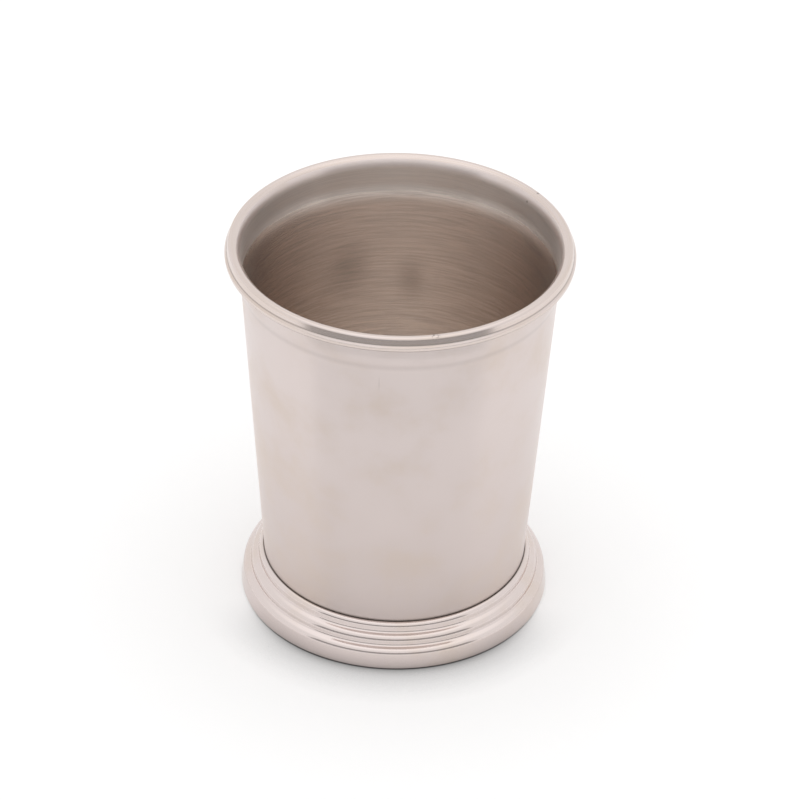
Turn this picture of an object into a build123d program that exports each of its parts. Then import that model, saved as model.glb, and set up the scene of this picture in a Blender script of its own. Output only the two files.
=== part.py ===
from build123d import *

import os
from math import copysign, cos, hypot, radians, sin, tan

# Julep cup: a drawn tumbler with an applied moulded rim, standing in a hollow foot of three rounded tiers.
# Millimetres, +Z up, origin at the centre of the face that the foot rests on. Every piece is a
# solid of revolution about Z, so sections are drawn as (radius, height).

# Tumbler, drawn from one sheet
overall_height = 101.6  # resting face to the top of the lip, 4 inches
cup_sheet = 0.9  # sheet of the tumbler
cup_neck_radius = 38.85  # outside of the cone at the foot of the mouth step
floor_bend = 2.2  # inside bend between floor and wall
mouth_depth = 9.7  # top of the lip down to the middle of the mouth step
mouth_step = 0.95  # how far the mouth band stands out of the cone's top
step_length = 3.0  # height of the mouth step
step_bend_share = 0.45  # share of the step's slant that each of its two bends takes up
mouth_round = 1.2  # dressed inner corner of the mouth

# Rim moulding, a drawn strip bent round the mouth band: a round lip with a leaning face, on a lower band
rim_gap = 0.12  # solder film between the mouth band and the ring
rim_width = 2.85  # bore of the ring to the face of its lower band
lip_round = 0.85
crest_inset = 1.52  # top of the lip behind the face of the lower band
lip_face_drop = 1.16  # height of the lip's outer face, down to the crease
lip_face_lean = 8.5  # lean of that face in degrees
band_slope = 46.0  # slope in degrees of the lower band's top
lower_band_height = 1.1
crease_round = 0.35
band_top_round = 0.1
band_foot_round = 0.5
flare_tilt = 46.0  # slope in degrees of the flare between the lip and the mouth

# Foot, pressed from one sheet in three rounded tiers and closed by a disc
foot_sheet = 0.6  # also the outside radius of the tight bend at the hem
foot_inset = 0.62  # how far the widest edge stands inside the tumbler's mouth band
tier_count = 3
foot_wall_height = 5.1  # resting face to the edge of the widest tier
foot_wall_lean = 8.4  # lean of the widest tier's wall in degrees
tier_rise = 2.04  # height of the riser of each narrower tier
tier_lean = 4.8  # lean of those risers in degrees
tier_tread = 1.78  # width of each tread between two tiers
tread_slope = 19.7  # slope of the treads in degrees
top_tread = 1.1  # width of the narrowest tier, from its riser to the trimmed edge
ridge_round = 1.7  # outside of the bend at a tier's edge
top_ridge_round = 1.25  # the same at the narrowest tier
valley_round = 0.75  # hollow side of the bend between a riser and the tread below it
trim_round = 0.12  # broken corner of the trimmed edge
foot_gap = 0.15  # solder film between the tumbler and the trimmed edge
solder_recess = 0.3  # depth of the open crevice above the solder
solder_tail = 0.6  # length of the solder run down the tumbler under the sheet
hem_width = 3.0  # flat turned in under the foot
disc_sheet = 0.9
disc_clearance = 0.15  # between the disc's edge and the wall of the foot

# Heights and radii that follow from these
floor_underside = foot_sheet + disc_sheet
step_middle = overall_height - mouth_depth
step_foot = step_middle - step_length / 2
step_top = step_middle + step_length / 2
mouth_radius = cup_neck_radius + mouth_step
mouth_bore = mouth_radius - cup_sheet
rim_bore = mouth_radius + rim_gap
rim_radius = rim_bore + rim_width

# Foot: about as wide as the mouth band, its corners listed from the resting face up to the trimmed edge
foot_radius = mouth_radius - foot_inset
wall_lean = radians(foot_wall_lean)
tread_fall = tan(radians(tread_slope))
tread = Vector(-tier_tread, tier_tread * tread_fall)
riser = Vector(-tier_rise * tan(radians(tier_lean)), tier_rise)
foot_wall = Vector(-foot_wall_height * tan(wall_lean), foot_wall_height)
foot_corners = [Vector(foot_radius, 0), Vector(foot_radius, 0) + foot_wall]
for tier in range(tier_count - 1):
    foot_corners.append(foot_corners[-1] + tread)
    foot_corners.append(foot_corners[-1] + riser)
foot_edge = foot_corners[-1] + Vector(-top_tread, top_tread * tread_fall)

# Tumbler: its cone fits the trimmed edge of the foot and runs up to the mouth step
taper = (cup_neck_radius - foot_edge.X + foot_gap) / (step_foot - foot_edge.Y)


def cone_radius(height):
    """Outside radius of the tumbler's tapered wall."""
    return cup_neck_radius - taper * (step_foot - height)


def beside_cone(height):
    """Section point on the line that the foot's edge is trimmed to, a solder film outside the cone."""
    return Vector(cone_radius(height) + foot_gap, height)


cup_base_radius = cone_radius(floor_underside)

# Height of the trimmed edge, which cuts the sloping sheet along the cone
trim_height = foot_sheet / (cos(radians(tread_slope)) + taper * sin(radians(tread_slope)))
trim_foot = beside_cone(foot_edge.Y - trim_height)

# Rim section: the lip's leaning face meets the sloping top of the lower band in a crease
lip_centre = Vector(rim_radius - crest_inset, overall_height - lip_round)
face_lean = radians(lip_face_lean)
lip_face_top = lip_centre + Vector(cos(face_lean), sin(face_lean)) * lip_round
crease = lip_face_top + Vector(tan(face_lean), -1) * lip_face_drop
lower_band_top = crease.Y - (rim_radius - crease.X) * tan(radians(band_slope))
rim_underside = lower_band_top - lower_band_height

# Flare: a straight slope from the lip down into the mouth
flare_slope = radians(flare_tilt)
flare_normal = Vector(-sin(flare_slope), cos(flare_slope))
flare_top = lip_centre + flare_normal * lip_round


def flare_point(radius):
    """Point of the flare at a radius from the axis."""
    return Vector(radius, flare_top.Y - (flare_top.X - radius) * tan(flare_slope))


def heading(start, end):
    """Unit vector from one section point to the next."""
    return (Vector(*end) - Vector(*start)).normalized()


def turn(before, corner, after):
    """Signed turn of a section line at a corner, in degrees, positive to the left."""
    return heading(before, corner).get_signed_angle(heading(corner, after), Vector(0, 0, 1))


def skin(points, radii):
    """A section line of straight runs with a bend at each corner."""
    return FilletPolyline(*points, radius=radii)


def opposite_skin(points, radii, sheet):
    """Points and bend radii of the sheet's other side, a sheet to the left of the first."""
    runs = [heading(a, b) for a, b in zip(points, points[1:])]
    normals = [Vector(-run.Y, run.X) for run in runs]
    first = Vector(*points[0]) + normals[0] * sheet
    last = Vector(*points[-1]) + normals[-1] * sheet
    corners = [
        Vector(*corner) + (one + two) * (sheet / (1 + one.dot(two)))
        for corner, one, two in zip(points[1:-1], normals, normals[1:])
    ]
    bends = [
        radius - copysign(sheet, sheet * turn(*trio))
        for radius, trio in zip(radii, zip(points, points[1:], points[2:]))
    ]
    return [first, *corners, last], bends


def spin(*edges):
    """Solid made by turning a closed section about the axis."""
    return revolve(Plane.XZ * make_face(edges), Axis.Z)


def spin_polygon(*points):
    """Solid made by turning a straight-sided section about the axis."""
    return spin(*Polyline(*points, close=True).edges())


def make_cup_body():
    """Floor, tapered wall, mouth step and mouth band of one sheet, dressed to the flare."""
    outside = [
        (0, floor_underside),
        (cup_base_radius, floor_underside),
        (cup_neck_radius, step_foot),
        (mouth_radius, step_top),
        flare_point(mouth_radius),
    ]
    slant = hypot(mouth_step, step_length)
    step_turns = [turn(*outside[1:4]), turn(*outside[2:5])]
    step_bends = [step_bend_share * slant / tan(radians(abs(angle)) / 2) for angle in step_turns]
    outside_bends = [floor_bend + cup_sheet, *step_bends]
    inside, inside_bends = opposite_skin(outside, outside_bends, cup_sheet)
    flare_foot = flare_point(mouth_bore + mouth_round * (1 + flare_normal.X))
    round_centre = flare_foot - flare_normal * mouth_round
    inside[-1] = Vector(mouth_bore, round_centre.Y)
    outer = skin(outside, outside_bends)
    inner = skin(inside, inside_bends)
    corner = CenterArc(round_centre, mouth_round, 180, flare_tilt - 90)
    flare = Line(corner @ 1, outer @ 1)
    return spin(*outer.edges(), *inner.edges(), Line(outer @ 0, inner @ 0), corner, flare)


def make_rim_moulding():
    """Ring with a flat back against the mouth band, lip, lower band and outer part of the flare."""
    lip_inside = CenterArc(lip_centre, lip_round, 90 + flare_tilt, -flare_tilt)
    lip_outside = CenterArc(lip_centre, lip_round, 90, lip_face_lean - 90)
    back_foot = Vector(rim_bore, rim_underside)
    face = [lip_outside @ 1, crease, (rim_radius, lower_band_top), (rim_radius, rim_underside), back_foot]
    outside = skin(face, [crease_round, band_top_round, band_foot_round])
    back_top = flare_point(rim_bore)
    back = Line(back_foot, back_top)
    flare = Line(back_top, lip_inside @ 0)
    return spin(lip_inside, lip_outside, *outside.edges(), back, flare)


def make_rim_solder():
    """Film between the mouth band and the back of the ring, dressed to the flare."""
    return spin_polygon(
        (mouth_radius, rim_underside),
        (rim_bore, rim_underside),
        flare_point(rim_bore),
        flare_point(mouth_radius),
    )


def make_foot_shell():
    """Hem, tiers and trimmed edge of one sheet, drawn along its outside from the hem up."""
    hem_end = Vector(foot_radius - hem_width, 0)
    tier_bends = [ridge_round, valley_round] * (tier_count - 1)
    bends = [foot_sheet, *tier_bends, top_ridge_round]
    outside = [hem_end, *foot_corners, foot_edge]
    inside, inside_bends = opposite_skin(outside, bends, foot_sheet)
    inside[-1] = trim_foot
    outer = skin([*outside, trim_foot], [*bends, trim_round])
    inner = skin(inside, inside_bends)
    return spin(*outer.edges(), *inner.edges(), Line(outer @ 0, inner @ 0))


def make_foot_solder():
    """Film between the tumbler and the trimmed edge, thinning out down the tumbler below it."""
    film_top = foot_edge.Y - solder_recess
    tail_end = trim_foot.Y - solder_tail
    return spin_polygon(
        (cone_radius(tail_end), tail_end),
        trim_foot,
        beside_cone(film_top),
        (cone_radius(film_top), film_top),
    )


def make_base_disc():
    """Disc held by the hem, under the tumbler's floor."""
    wall_bore = foot_radius - floor_underside * tan(wall_lean) - foot_sheet / cos(wall_lean)
    disc_radius = wall_bore - disc_clearance
    return spin_polygon(
        (0, foot_sheet),
        (disc_radius, foot_sheet),
        (disc_radius, floor_underside),
        (0, floor_underside),
    )


pieces = {
    "cup_body": make_cup_body(),
    "rim_moulding": make_rim_moulding(),
    "rim_solder": make_rim_solder(),
    "foot_shell": make_foot_shell(),
    "foot_solder": make_foot_solder(),
    "base_disc": make_base_disc(),
}
os.makedirs("parts", exist_ok=True)
for name, piece in pieces.items():
    export_step(piece, f"parts/{name}.step")
    print(name, f"{piece.volume:.0f} mm3", piece.bounding_box().size)
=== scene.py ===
from math import asin, cos, pi, radians, sin, tan, tau

import bpy
from mathutils import Matrix


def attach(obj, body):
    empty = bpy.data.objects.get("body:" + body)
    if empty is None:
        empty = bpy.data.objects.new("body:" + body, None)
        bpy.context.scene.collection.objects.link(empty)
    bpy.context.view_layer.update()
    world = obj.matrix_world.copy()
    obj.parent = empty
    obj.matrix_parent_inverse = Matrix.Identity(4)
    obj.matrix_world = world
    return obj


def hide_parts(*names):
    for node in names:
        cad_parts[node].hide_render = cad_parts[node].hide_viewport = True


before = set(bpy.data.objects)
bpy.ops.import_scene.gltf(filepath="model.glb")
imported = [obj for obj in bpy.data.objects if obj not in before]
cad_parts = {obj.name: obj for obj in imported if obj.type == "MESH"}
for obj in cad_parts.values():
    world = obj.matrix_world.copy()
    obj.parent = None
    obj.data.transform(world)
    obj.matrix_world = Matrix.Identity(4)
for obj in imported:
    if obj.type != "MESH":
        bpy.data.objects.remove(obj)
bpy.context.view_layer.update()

# Julep cup of polished steel, brushed inside, standing on a white studio floor. Metres, +Z up, with the
# photograph taken from -Y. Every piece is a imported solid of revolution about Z, so the finishes are
# worked out from the distance to the axis, the height and the direction that a surface faces.
# A place is (radius, height) in a section, or (radius, azimuth from +X towards +Y, height).

MM = 0.001

# Camera of the photograph
camera_place = (0.0, -0.79553, 0.61047)
camera_pitch = radians(34.934)  # below the horizon
camera_yaw = radians(-0.049)
camera_roll = radians(1.254)
camera_sensor = 36.0
camera_lens = 174.966

# Studio: a white room, brighter overhead, and a dark card that only reflections show, on the camera's side
white = (1.0, 1.0, 1.0, 1.0)
black = (0.0, 0.0, 0.0, 1.0)
room_level = 1.0
overhead_level = 1.25
overhead_from, overhead_full = radians(40), radians(75)  # elevations
floor_half_size = 6.0
floor_drop = 0.02 * MM
floor_colour = (0.9, 0.9, 0.9, 1.0)
floor_lift = 0.1  # light of its own that the floor shows to the camera and in reflections
contact_reach = 14 * MM  # how far from the foot the contact shadow is seen
contact_depth = 1.7
contact_from, contact_full = -10 * MM, -36 * MM  # painted shadow: ambient occlusion darkens the floor's colour only in front of the foot
contact_samples = 8
card_near, card_far = 250 * MM, 2000 * MM  # from the axis
card_rise = radians(28)
card_half_width = radians(59)
card_edge = radians(7)  # soft upright edges
card_top_edge = 0.25  # soft share of the card's length at its far end
card_level = 0.42
card_steps = 48
light_bounces = 16

# Turned pieces
turn_steps = 256
sharp_turn = radians(35)
seam_reach = 0.2e-6
crown_top = (41.25 * MM, 101.6 * MM)  # top of the lip
crown_foot = (38.9 * MM, 98.4 * MM)  # where the lip's soft round ends in the mouth
crown_steps = 24
flare_low = 99.0 * MM

# Colours
outside_colour = (0.715, 0.63, 0.605, 1.0)
stain_colour = (0.685, 0.585, 0.525, 1.0)
low_shade_colour = (0.645, 0.56, 0.53, 1.0)
inside_colour = (0.925, 0.857, 0.81, 1.0)
inside_dark_colour = (0.695, 0.645, 0.61, 1.0)
# painted light: paler colour of the tumbler's upward-facing floor inside
pan_light_colour = (0.95, 0.88, 0.82, 1.0)
# dark colour for real dirt, pits and scratches, and for painted shade
residue_and_shade_colour = (0.2, 0.17, 0.15, 1.0)
solder_colour = (0.42, 0.39, 0.37, 1.0)
solder_dark_colour = (0.25, 0.23, 0.22, 1.0)
base_colour = (0.66, 0.60, 0.58, 1.0)
base_dark_colour = (0.5, 0.45, 0.43, 1.0)

# Grain round the axis: streaks per radian along it, and per metre across it
fine_brushing = (3.5, 3600.0)
broad_brushing = (1.6, 900.0)
fine_share = 0.75
drawn_lines = (2.0, 6000.0)
turning_rings = (2.0, 3000.0)
usual_noise = (0.3, 0.7)  # where most of the noise lies
lit_brushing = (0.36, 0.62)
brushed_depth, drawn_depth = 0.009 * MM, 0.002 * MM
brushed_pull, drawn_pull = 0.9, 0.5  # how far the grain draws out the shine
grain_turn = 0.25  # the shine is drawn out across the grain

# Roughness, at the low end of its noise and at the high end
outside_roughness = (0.285, 0.33)
coarse_roughness = (0.42, 0.32)
close_roughness = (0.265, 0.205)
rim_roughness = (0.24, 0.19)
foot_roughness = (0.11, 0.07)
solder_roughness, film_roughness, base_roughness = 0.5, 0.2, 0.35
ring_contrast = (1.2, 0.85)
dirt_and_shade_roughness = 0.25  # added where dirt and painted shade darken the colour
pan_roughness = 0.2  # added on the tumbler's floor

# Where the tumbler's finishes meet
inside_facing = (0.5, -0.2)  # outward share of the normal, from outside to inside
pan_facing = (0.5, 0.95)  # upward share of the normal on the tumbler's floor
brushed_to, polished_from = 98.3 * MM, 100.4 * MM
step_edge = 92.6 * MM  # edge of the step inside, closely brushed below it and coarsely above
step_blend = 0.8 * MM
band_share = 0.3  # brightness of the streaks above the step
low_from, low_full, low_shade_share = 80 * MM, 12 * MM, 0.6  # painted shade: the outside darkens towards the foot between these heights, by this share

# Stains: scale, detail and roughness of their noise, the part of it that shows, and their strength
cup_stains, cup_stained, cup_stain_share = (55.0, 5.0, 0.6), (0.42, 0.75), 0.9
foot_stains, foot_stained, foot_stain_share = (70.0, 4.0, 0.6), (0.45, 0.75), 0.8

# Marks of use and making that the photograph shows
scratch_x, scratch_height = -4.4 * MM, 86.0 * MM  # upright, on the front
scratch_half_width, scratch_half_length, scratch_share = 0.18 * MM, 3.0 * MM, 0.2
smudges = (  # x, height and reach of finger marks on the back of the inside
    (-13.0 * MM, 71.5 * MM, 7.5 * MM, 11.0 * MM),
    (2.8 * MM, 67.2 * MM, 5.6 * MM, 8.5 * MM),
)
smudge_share = 0.3
step_hollow, hollow_reach, step_shade_share = 91.1 * MM, 1.4 * MM, 0.12  # painted shade in the bend under the step outside: its height, reach and strength
# dirt and painted shade in the crevice of the foot at the tumbler: place, reach and strength
foot_edge, foot_edge_reach, foot_edge_share = (33.4 * MM, 10.85 * MM), 0.5 * MM, 0.6
crevice_rise, crevice_depth = 0.7 * MM, 0.1 * MM  # dirt and painted shade on the tumbler, above and below the foot's edge
# the painted shade there is stronger in front
crevice_front, crevice_side_share, crevice_front_share = -30 * MM, 0.45, 0.85
# painted shade in the crease between the lip and the lower band
crease, crease_reach, crease_share = (42.26 * MM, 99.72 * MM), 0.32 * MM, 0.55
under_facing, under_share = (-0.1, -0.6), 0.7  # painted shade on the faces that look down, under the rim's lower band
mouth_pit, mouth_pit_reach = (39.0 * MM, radians(37.0), 99.2 * MM), 0.45 * MM  # butt seam of the rim
ring_pit, ring_pit_reach = (41.2 * MM, radians(35.0), 101.55 * MM), 0.5 * MM
fleck_place, fleck_reach = (41.2 * MM, radians(-78.0), 101.6 * MM), 1.8 * MM
fleck_noise, fleck_range = (2500.0, 1.0), (0.55, 0.62)


class Graph:
    """Short ways to add nodes to a node tree and to join them."""

    def __init__(self, tree):
        self.tree = tree
        tree.nodes.clear()

    def feed(self, socket, value):
        """Joins a socket to another, or sets its value."""
        if isinstance(value, bpy.types.NodeSocket):
            self.tree.links.new(value, socket)
        else:
            socket.default_value = value

    def add(self, kind, inputs=None, **settings):
        """A node with its settings and the inputs that are named."""
        node = self.tree.nodes.new("ShaderNode" + kind)
        for name, value in settings.items():
            setattr(node, name, value)
        for name, value in (inputs or {}).items():
            self.feed(node.inputs[name], value)
        return node

    def math(self, operation, *values):
        """Result of a sum on numbers."""
        return self.add("Math", dict(enumerate(values)), operation=operation).outputs[0]

    def chain(self, operation, first, *others):
        """Result of the same sum on several numbers."""
        for other in others:
            first = self.math(operation, first, other)
        return first

    def vector(self, operation, *values, output="Vector"):
        """Result of a sum on vectors."""
        return self.add("VectorMath", dict(enumerate(values)), operation=operation).outputs[output]

    def scale(self, vector, factor):
        """A vector made longer or shorter."""
        return self.add("VectorMath", {"Vector": vector, "Scale": factor}, operation="SCALE").outputs[0]

    def fade(self, value, start, end, low=0.0, high=1.0):
        """Smooth change from low to high while a value goes from start to end."""
        inputs = {"Value": value, "From Min": start, "From Max": end, "To Min": low, "To Max": high}
        return self.add("MapRange", inputs, interpolation_type="SMOOTHSTEP").outputs["Result"]

    def spread(self, noise, low=0.0, high=1.0):
        """Smooth change from low to high over the usual range of a noise."""
        return self.fade(noise, *usual_noise, low, high)

    def near(self, value, middle, width):
        """1 at a value, falling smoothly to 0 at a distance from it."""
        gap = self.math("ABSOLUTE", self.math("SUBTRACT", value, middle))
        return self.fade(gap, width, 0.0)

    def between(self, share, first, second):
        """A number between two others."""
        return self.add("Mix", {0: share, 2: first, 3: second}, data_type="FLOAT").outputs[0]

    def blend(self, share, first, second):
        """A colour between two others."""
        node = self.add("Mix", {"Factor": share}, data_type="RGBA")
        self.feed(node.inputs[6], first)
        self.feed(node.inputs[7], second)
        return node.outputs[2]

    def noise(self, place, scale, detail=2.0, roughness=0.5):
        """Smooth noise from 0 to 1."""
        inputs = {"Vector": place, "Scale": scale, "Detail": detail, "Roughness": roughness}
        return self.add("TexNoise", inputs).outputs[0]


class Turned:
    """Where a shaded point lies on a turned piece, and noise that follows the turning."""

    def __init__(self, graph):
        self.graph = graph
        self.place = graph.add("TexCoord").outputs["Object"]
        parts = graph.add("SeparateXYZ", {"Vector": self.place}).outputs
        flat = graph.add("CombineXYZ", {"X": parts["X"], "Y": parts["Y"]}).outputs[0]
        normal = graph.add("NewGeometry").outputs["Normal"]
        self.x = parts["X"]
        self.y = parts["Y"]
        self.height = parts["Z"]
        self.radius = graph.vector("LENGTH", flat, output="Value")
        self.outward = graph.vector("NORMALIZE", flat)
        self.facing = graph.vector("DOT_PRODUCT", normal, self.outward, output="Value")
        self.up = graph.add("SeparateXYZ", {"Vector": normal}).outputs["Z"]

    def streaks(self, around, across, detail=3.0):
        """Noise drawn out round the axis: its streaks per radian, and per metre across the grain."""
        along = self.graph.scale(self.outward, around)
        run = self.graph.math("ADD", self.height, self.radius)
        lift = self.graph.add("CombineXYZ", {"Z": self.graph.math("MULTIPLY", run, across)}).outputs[0]
        return self.graph.noise(self.graph.vector("ADD", along, lift), 1.0, detail)

    def ring(self, place, reach):
        """1 on a circle about the axis, falling to 0 at a distance from it."""
        radius, height = place
        aside = self.graph.math("SUBTRACT", self.radius, radius)
        above = self.graph.math("SUBTRACT", self.height, height)
        gap = self.graph.add("CombineXYZ", {"X": aside, "Y": above}).outputs[0]
        return self.graph.fade(self.graph.vector("LENGTH", gap, output="Value"), reach, 0.0)

    def spot(self, place, reach):
        """1 at a point, falling to 0 at a distance from it."""
        gap = self.graph.vector("DISTANCE", self.place, round_axis(*place), output="Value")
        return self.graph.fade(gap, reach, 0.0)


def round_axis(radius, azimuth, height):
    """Coordinates of a point given by its distance from the axis, its azimuth and its height."""
    return (radius * cos(azimuth), radius * sin(azimuth), height)


def new_material(name):
    """An empty material with its output node."""
    material = bpy.data.materials.new(name)
    material.use_nodes = True
    graph = Graph(material.node_tree)
    output = graph.add("OutputMaterial")
    return material, graph, output


def finish_metal(graph, output, colour, roughness, height, depth, pull):
    """Metal with a colour, a roughness, a relief of a depth in metres and a grain round the axis."""
    bump = graph.add("Bump", {"Height": height, "Distance": depth, "Strength": 1.0})
    tangent = graph.add("Tangent", direction_type="RADIAL", axis="Z")
    inputs = {
        "Base Color": colour,
        "Metallic": 1.0,
        "Roughness": roughness,
        "Anisotropic": pull,
        "Anisotropic Rotation": grain_turn,
        "Normal": bump.outputs[0],
        "Tangent": tangent.outputs[0],
    }
    shader = graph.add("BsdfPrincipled", inputs)
    graph.feed(output.inputs["Surface"], shader.outputs[0])


def make_camera():
    """Camera at the photograph's place and angle."""
    data = bpy.data.cameras.new("camera")
    data.sensor_width = camera_sensor
    data.lens = camera_lens
    camera = bpy.data.objects.new("camera", data)
    bpy.context.scene.collection.objects.link(camera)
    turned = Matrix.Rotation(camera_yaw, 4, "Z") @ Matrix.Rotation(pi / 2 - camera_pitch, 4, "X")
    camera.matrix_world = Matrix.Translation(camera_place) @ turned @ Matrix.Rotation(camera_roll, 4, "Z")
    bpy.context.scene.camera = camera


def make_world():
    """Light of the room, by direction."""
    world = bpy.data.worlds.new("studio")
    bpy.context.scene.world = world
    world.use_nodes = True
    graph = Graph(world.node_tree)
    direction = graph.add("TexCoord").outputs["Generated"]
    rise = graph.add("SeparateXYZ", {"Vector": direction}).outputs["Z"]
    level = graph.fade(rise, sin(overhead_from), sin(overhead_full), room_level, overhead_level)
    background = graph.add("Background", {"Color": white, "Strength": level})
    graph.add("OutputWorld", {"Surface": background.outputs[0]})


def new_piece(name, corners, faces, material):
    """An object made of corners and faces, with one material."""
    mesh = bpy.data.meshes.new(name)
    mesh.from_pydata(corners, [], faces)
    mesh.materials.append(material)
    piece = bpy.data.objects.new(name, mesh)
    bpy.context.scene.collection.objects.link(piece)
    return piece


def make_floor():
    """Plain pale floor under the cup, with a shadow painted into its colour in front, where the foot keeps
    the light off it.
    """
    material, graph, output = new_material("floor_paper")
    occlusion = graph.add("AmbientOcclusion", {"Distance": contact_reach}, samples=contact_samples)
    in_front = graph.fade(Turned(graph).y, contact_from, contact_full, 0.0, contact_depth)
    share = graph.math("POWER", occlusion.outputs["AO"], in_front)
    paper = graph.add("BsdfDiffuse", {"Color": graph.blend(share, black, floor_colour)})
    path = graph.add("LightPath").outputs
    seen = graph.math("MAXIMUM", path["Is Camera Ray"], path["Is Glossy Ray"])
    lift = graph.chain("MULTIPLY", share, seen, floor_lift)
    glow = graph.add("Emission", {"Color": white, "Strength": lift})
    shader = graph.add("AddShader", {0: paper.outputs[0], 1: glow.outputs[0]})
    graph.feed(output.inputs["Surface"], shader.outputs[0])
    s = floor_half_size
    corners = [(-s, -s, -floor_drop), (s, -s, -floor_drop), (s, s, -floor_drop), (-s, s, -floor_drop)]
    new_piece("floor", corners, [(0, 1, 2, 3)], material)


def make_card():
    """Dark card that slopes up from the floor on the camera's side and shows only in reflections."""
    material, graph, output = new_material("dark_card")
    turned = Turned(graph)
    towards_camera = graph.math("DIVIDE", graph.math("MULTIPLY", turned.y, -1.0), turned.radius)
    middle = graph.fade(towards_camera, cos(card_half_width), cos(card_half_width - card_edge))
    length = card_far - card_near
    below_top = graph.fade(turned.radius, card_far, card_far - card_top_edge * length)
    strength = graph.between(graph.math("MULTIPLY", middle, below_top), room_level, card_level)
    shader = graph.add("Emission", {"Color": white, "Strength": strength})
    graph.feed(output.inputs["Surface"], shader.outputs[0])
    turns = [(2 * i / card_steps - 1) * card_half_width - pi / 2 for i in range(card_steps + 1)]
    ends = ((card_near, 0.0), (card_far, length * tan(card_rise)))
    corners = [round_axis(radius, turn, height) for turn in turns for radius, height in ends]
    faces = [(2 * i, 2 * i + 2, 2 * i + 3, 2 * i + 1) for i in range(card_steps)]
    card = new_piece("dark_card", corners, faces, material)
    card.visible_camera = False
    card.visible_diffuse = False
    card.visible_shadow = False


def section_of(node):
    """The section of a turned CAD node as a line of (radius, height) points, read along its seam."""
    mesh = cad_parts[node].data
    neighbours = {}
    for edge in mesh.edges:
        ends = [mesh.vertices[index].co for index in edge.vertices]
        if all(abs(end.y) < seam_reach and end.x > 0 for end in ends):
            first, second = ((round(end.x, 7), round(end.z, 7)) for end in ends)
            neighbours.setdefault(first, set()).add(second)
            neighbours.setdefault(second, set()).add(first)
    ends = [point for point in neighbours if len(neighbours[point]) == 1]
    line = [min(ends or neighbours)]
    left = set(neighbours) - set(line)
    while left & neighbours[line[-1]]:
        line.append(max(left & neighbours[line[-1]]))
        left.discard(line[-1])
    if ends:
        line = [(0.0, line[0][1]), *line, (0.0, line[-1][1])]
    return line


def crown_point(turn):
    """Point of the soft round from the top of the lip, at 0, down into the mouth, at a right angle."""
    radius = crown_top[0] - (crown_top[0] - crown_foot[0]) * sin(turn)
    return radius, crown_foot[1] + (crown_top[1] - crown_foot[1]) * cos(turn)


def crowned(line):
    """A section with the flat of its flare made into the soft round that the photograph shows there."""
    flat = [
        radius < crown_top[0] + seam_reach and height > max(flare_low, flare_low + radius - crown_foot[0])
        for radius, height in line
    ]
    start = next(i for i in range(len(line)) if flat[i] and not flat[i - 1])
    line = line[start:] + line[:start]
    count = sum(flat)
    width = crown_top[0] - crown_foot[0]
    shares = [(crown_top[0] - line[i][0]) / width for i in (0, count - 1)]
    first, last = (asin(min(1.0, max(0.0, share))) for share in shares)
    turns = [first + (last - first) * step / crown_steps for step in range(crown_steps + 1)]
    return [crown_point(turn) for turn in turns] + line[count:]


def smooth_turned(name, node, material, shape=None):
    """A piece in the place of a turned CAD node, with its section in even rings that mirror cleanly."""
    line = section_of(node)
    if shape:
        line = shape(line)
    count = len(line)
    turns = [tau * step / turn_steps for step in range(turn_steps)]
    corners = [round_axis(radius, turn, height) for turn in turns for radius, height in line]
    faces = []
    for step in range(turn_steps):
        here = step * count
        there = (step + 1) % turn_steps * count
        for i in range(count):
            j = (i + 1) % count
            corner = [here + i]
            if line[j][0] > 0.0:
                corner.append(here + j)
            corner.append(there + j)
            if line[i][0] > 0.0:
                corner.append(there + i)
            if len(corner) > 2:
                faces.append(corner)
    piece = new_piece(name, corners, faces, material)
    piece.data.shade_smooth()
    piece.data.set_sharp_from_angle(angle=sharp_turn)
    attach(piece, "root")
    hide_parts(node)
    return piece


def cup_outside(graph, turned, stains):
    """Colour of the tumbler's outside: faint stains, a scratch, painted shade towards the foot and under
    the step, and dirt and painted shade at the foot's edge.
    """
    # painted shade: the outside darker towards the foot
    low = graph.fade(turned.height, low_from, low_full, 0.0, low_shade_share)
    colour = graph.blend(low, outside_colour, low_shade_colour)
    stained = graph.fade(stains, *cup_stained, 0.0, cup_stain_share)
    colour = graph.blend(stained, colour, stain_colour)
    across = graph.near(turned.x, scratch_x, scratch_half_width)
    along = graph.near(turned.height, scratch_height, scratch_half_length)
    front = graph.math("LESS_THAN", turned.y, 0.0)
    scratch = graph.chain("MULTIPLY", across, along, front, scratch_share)
    edge_height = foot_edge[1]
    # dirt and painted shade at the foot's edge, stronger in front
    crevice = graph.fade(turned.height, edge_height + crevice_rise, edge_height - crevice_depth)
    crevice_share = graph.fade(turned.y, 0.0, crevice_front, crevice_side_share, crevice_front_share)
    crevice = graph.math("MULTIPLY", crevice, crevice_share)
    # painted shade in the bend under the step
    step_shade = graph.math("MULTIPLY", graph.near(turned.height, step_hollow, hollow_reach), step_shade_share)
    dirt_and_shade = graph.chain("MAXIMUM", scratch, crevice, step_shade)
    return graph.blend(dirt_and_shade, colour, residue_and_shade_colour)


def finger_marks(graph, turned):
    """Share of dirt in the finger marks on the back of the inside."""
    back = graph.math("GREATER_THAN", turned.y, 0.0)
    marks = []
    for x, height, width, length in smudges:
        aside = graph.near(turned.x, x, width)
        level = graph.near(turned.height, height, length)
        marks.append(graph.chain("MULTIPLY", aside, level, back))
    return graph.math("MULTIPLY", graph.chain("MAXIMUM", *marks), smudge_share)


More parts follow.
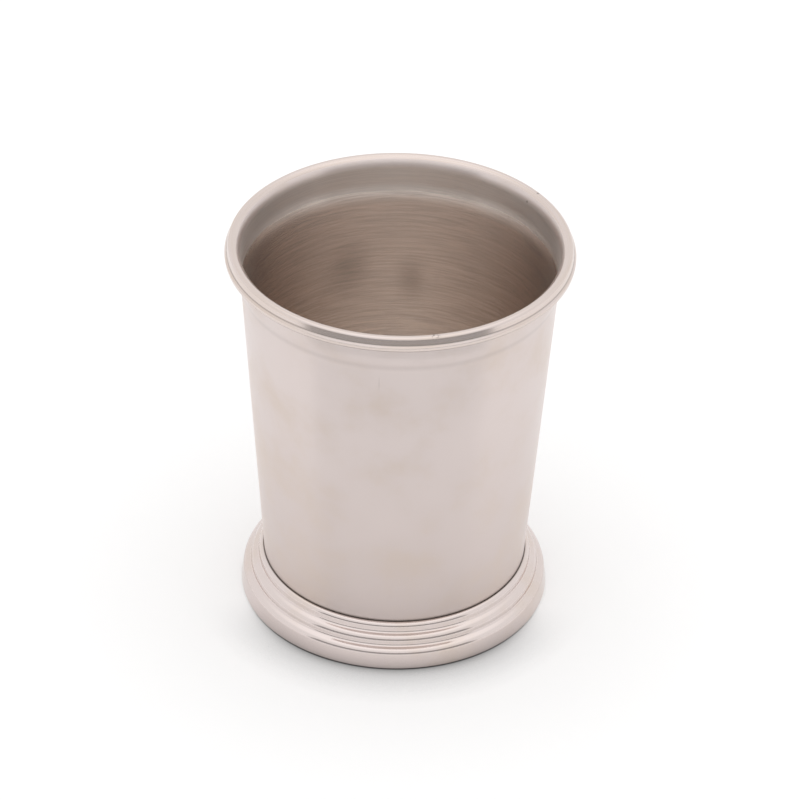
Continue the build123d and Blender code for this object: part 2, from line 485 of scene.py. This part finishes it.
def cup_metal():
    """Polished outside with faint stains, brushed round the axis inside, polished at the mouth."""
    material, graph, output = new_material("cup_metal")
    turned = Turned(graph)
    facing_in = graph.fade(turned.facing, *inside_facing)
    below_mouth = graph.fade(turned.height, polished_from, brushed_to)
    inside = graph.math("MULTIPLY", facing_in, below_mouth)
    below_step = graph.fade(turned.height, step_edge + step_blend, step_edge - step_blend)
    pan = graph.fade(turned.up, *pan_facing)
    stains = graph.noise(turned.place, *cup_stains)
    brushed = graph.between(fine_share, turned.streaks(*broad_brushing), turned.streaks(*fine_brushing))

    lit = graph.fade(brushed, *lit_brushing)
    lit = graph.math("MULTIPLY", lit, graph.between(below_step, band_share, 1.0))
    within = graph.blend(lit, inside_dark_colour, inside_colour)
    within = graph.blend(finger_marks(graph, turned), within, residue_and_shade_colour)
    # painted light on the upward-facing floor inside
    within = graph.blend(graph.math("MULTIPLY", pan, inside), within, pan_light_colour)
    colour = graph.blend(inside, cup_outside(graph, turned, stains), within)
    colour = graph.blend(turned.spot(mouth_pit, mouth_pit_reach), colour, residue_and_shade_colour)

    coarse = graph.spread(brushed, *coarse_roughness)
    close = graph.spread(brushed, *close_roughness)
    drawn = graph.between(below_step, coarse, close)
    drawn = graph.math("ADD", drawn, graph.math("MULTIPLY", pan, pan_roughness))
    roughness = graph.between(inside, graph.spread(stains, *outside_roughness), drawn)
    height = graph.math("MULTIPLY", brushed, inside)
    finish_metal(graph, output, colour, roughness, height, brushed_depth, brushed_pull)
    return material


def finish_drawn(graph, output, lines, roughness, tone, dirt_and_shade):
    """Polished metal of a tone with fine drawn lines and a share of dirt and painted shade."""
    colour = graph.blend(dirt_and_shade, tone, residue_and_shade_colour)
    rough = graph.math("ADD", graph.spread(lines, *roughness), graph.math("MULTIPLY", dirt_and_shade, dirt_and_shade_roughness))
    finish_metal(graph, output, colour, rough, lines, drawn_depth, drawn_pull)


def rim_metal():
    """Polished strip with fine drawn lines, a soldered seam, dirt flecks, and painted shade in the crease
    and under the band.
    """
    material, graph, output = new_material("rim_metal")
    turned = Turned(graph)
    lines = turned.streaks(*drawn_lines)
    tone = graph.blend(graph.spread(lines), stain_colour, outside_colour)
    # painted shade in the crease
    crease_shade = graph.math("MULTIPLY", turned.ring(crease, crease_reach), crease_share)
    # painted shade under the band
    under = graph.fade(turned.up, *under_facing, 0.0, under_share)
    pit = turned.spot(ring_pit, ring_pit_reach)
    flecks = graph.fade(graph.noise(turned.place, *fleck_noise), *fleck_range)
    flecks = graph.math("MULTIPLY", flecks, turned.spot(fleck_place, fleck_reach))
    dirt_and_shade = graph.chain("MAXIMUM", crease_shade, under, flecks, pit)
    finish_drawn(graph, output, lines, rim_roughness, tone, dirt_and_shade)
    return material


def foot_metal():
    """Polished tiers with fine spun lines, faint stains, and dirt and painted shade in the crevice at the
    cup.
    """
    material, graph, output = new_material("foot_metal")
    turned = Turned(graph)
    lines = turned.streaks(*drawn_lines)
    stains = graph.noise(turned.place, *foot_stains)
    stained = graph.fade(stains, *foot_stained, 0.0, foot_stain_share)
    tone = graph.blend(stained, outside_colour, stain_colour)
    # dirt and painted shade in the crevice at the tumbler
    dirt_and_shade = graph.math("MULTIPLY", turned.ring(foot_edge, foot_edge_reach), foot_edge_share)
    finish_drawn(graph, output, lines, foot_roughness, tone, dirt_and_shade)
    return material


def plain_metal(name, colour, dark_colour, roughness):
    """Turned metal with fine rings."""
    material, graph, output = new_material(name)
    rings = Turned(graph).streaks(*turning_rings)
    tone = graph.blend(graph.spread(rings), dark_colour, colour)
    rough = graph.spread(rings, *(roughness * contrast for contrast in ring_contrast))
    finish_metal(graph, output, tone, rough, rings, drawn_depth, drawn_pull)
    return material


def dress(node, material):
    """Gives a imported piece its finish."""
    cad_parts[node].material_slots[0].material = material


make_camera()
make_world()
make_floor()
make_card()
dress("foot_solder", plain_metal("solder", solder_colour, solder_dark_colour, solder_roughness))
dress("base_disc", plain_metal("base_metal", base_colour, base_dark_colour, base_roughness))
smooth_turned("tumbler", "cup_body", cup_metal(), crowned)
smooth_turned("rim_ring", "rim_moulding", rim_metal(), crowned)
film_metal = plain_metal("rim_film", outside_colour, stain_colour, film_roughness)
smooth_turned("rim_film", "rim_solder", film_metal, crowned)
smooth_turned("foot_tiers", "foot_shell", foot_metal())

bpy.context.scene.cycles.glossy_bounces = light_bounces
bpy.context.scene.cycles.max_bounces = light_bounces
bpy.context.scene.view_settings.view_transform = "Standard"
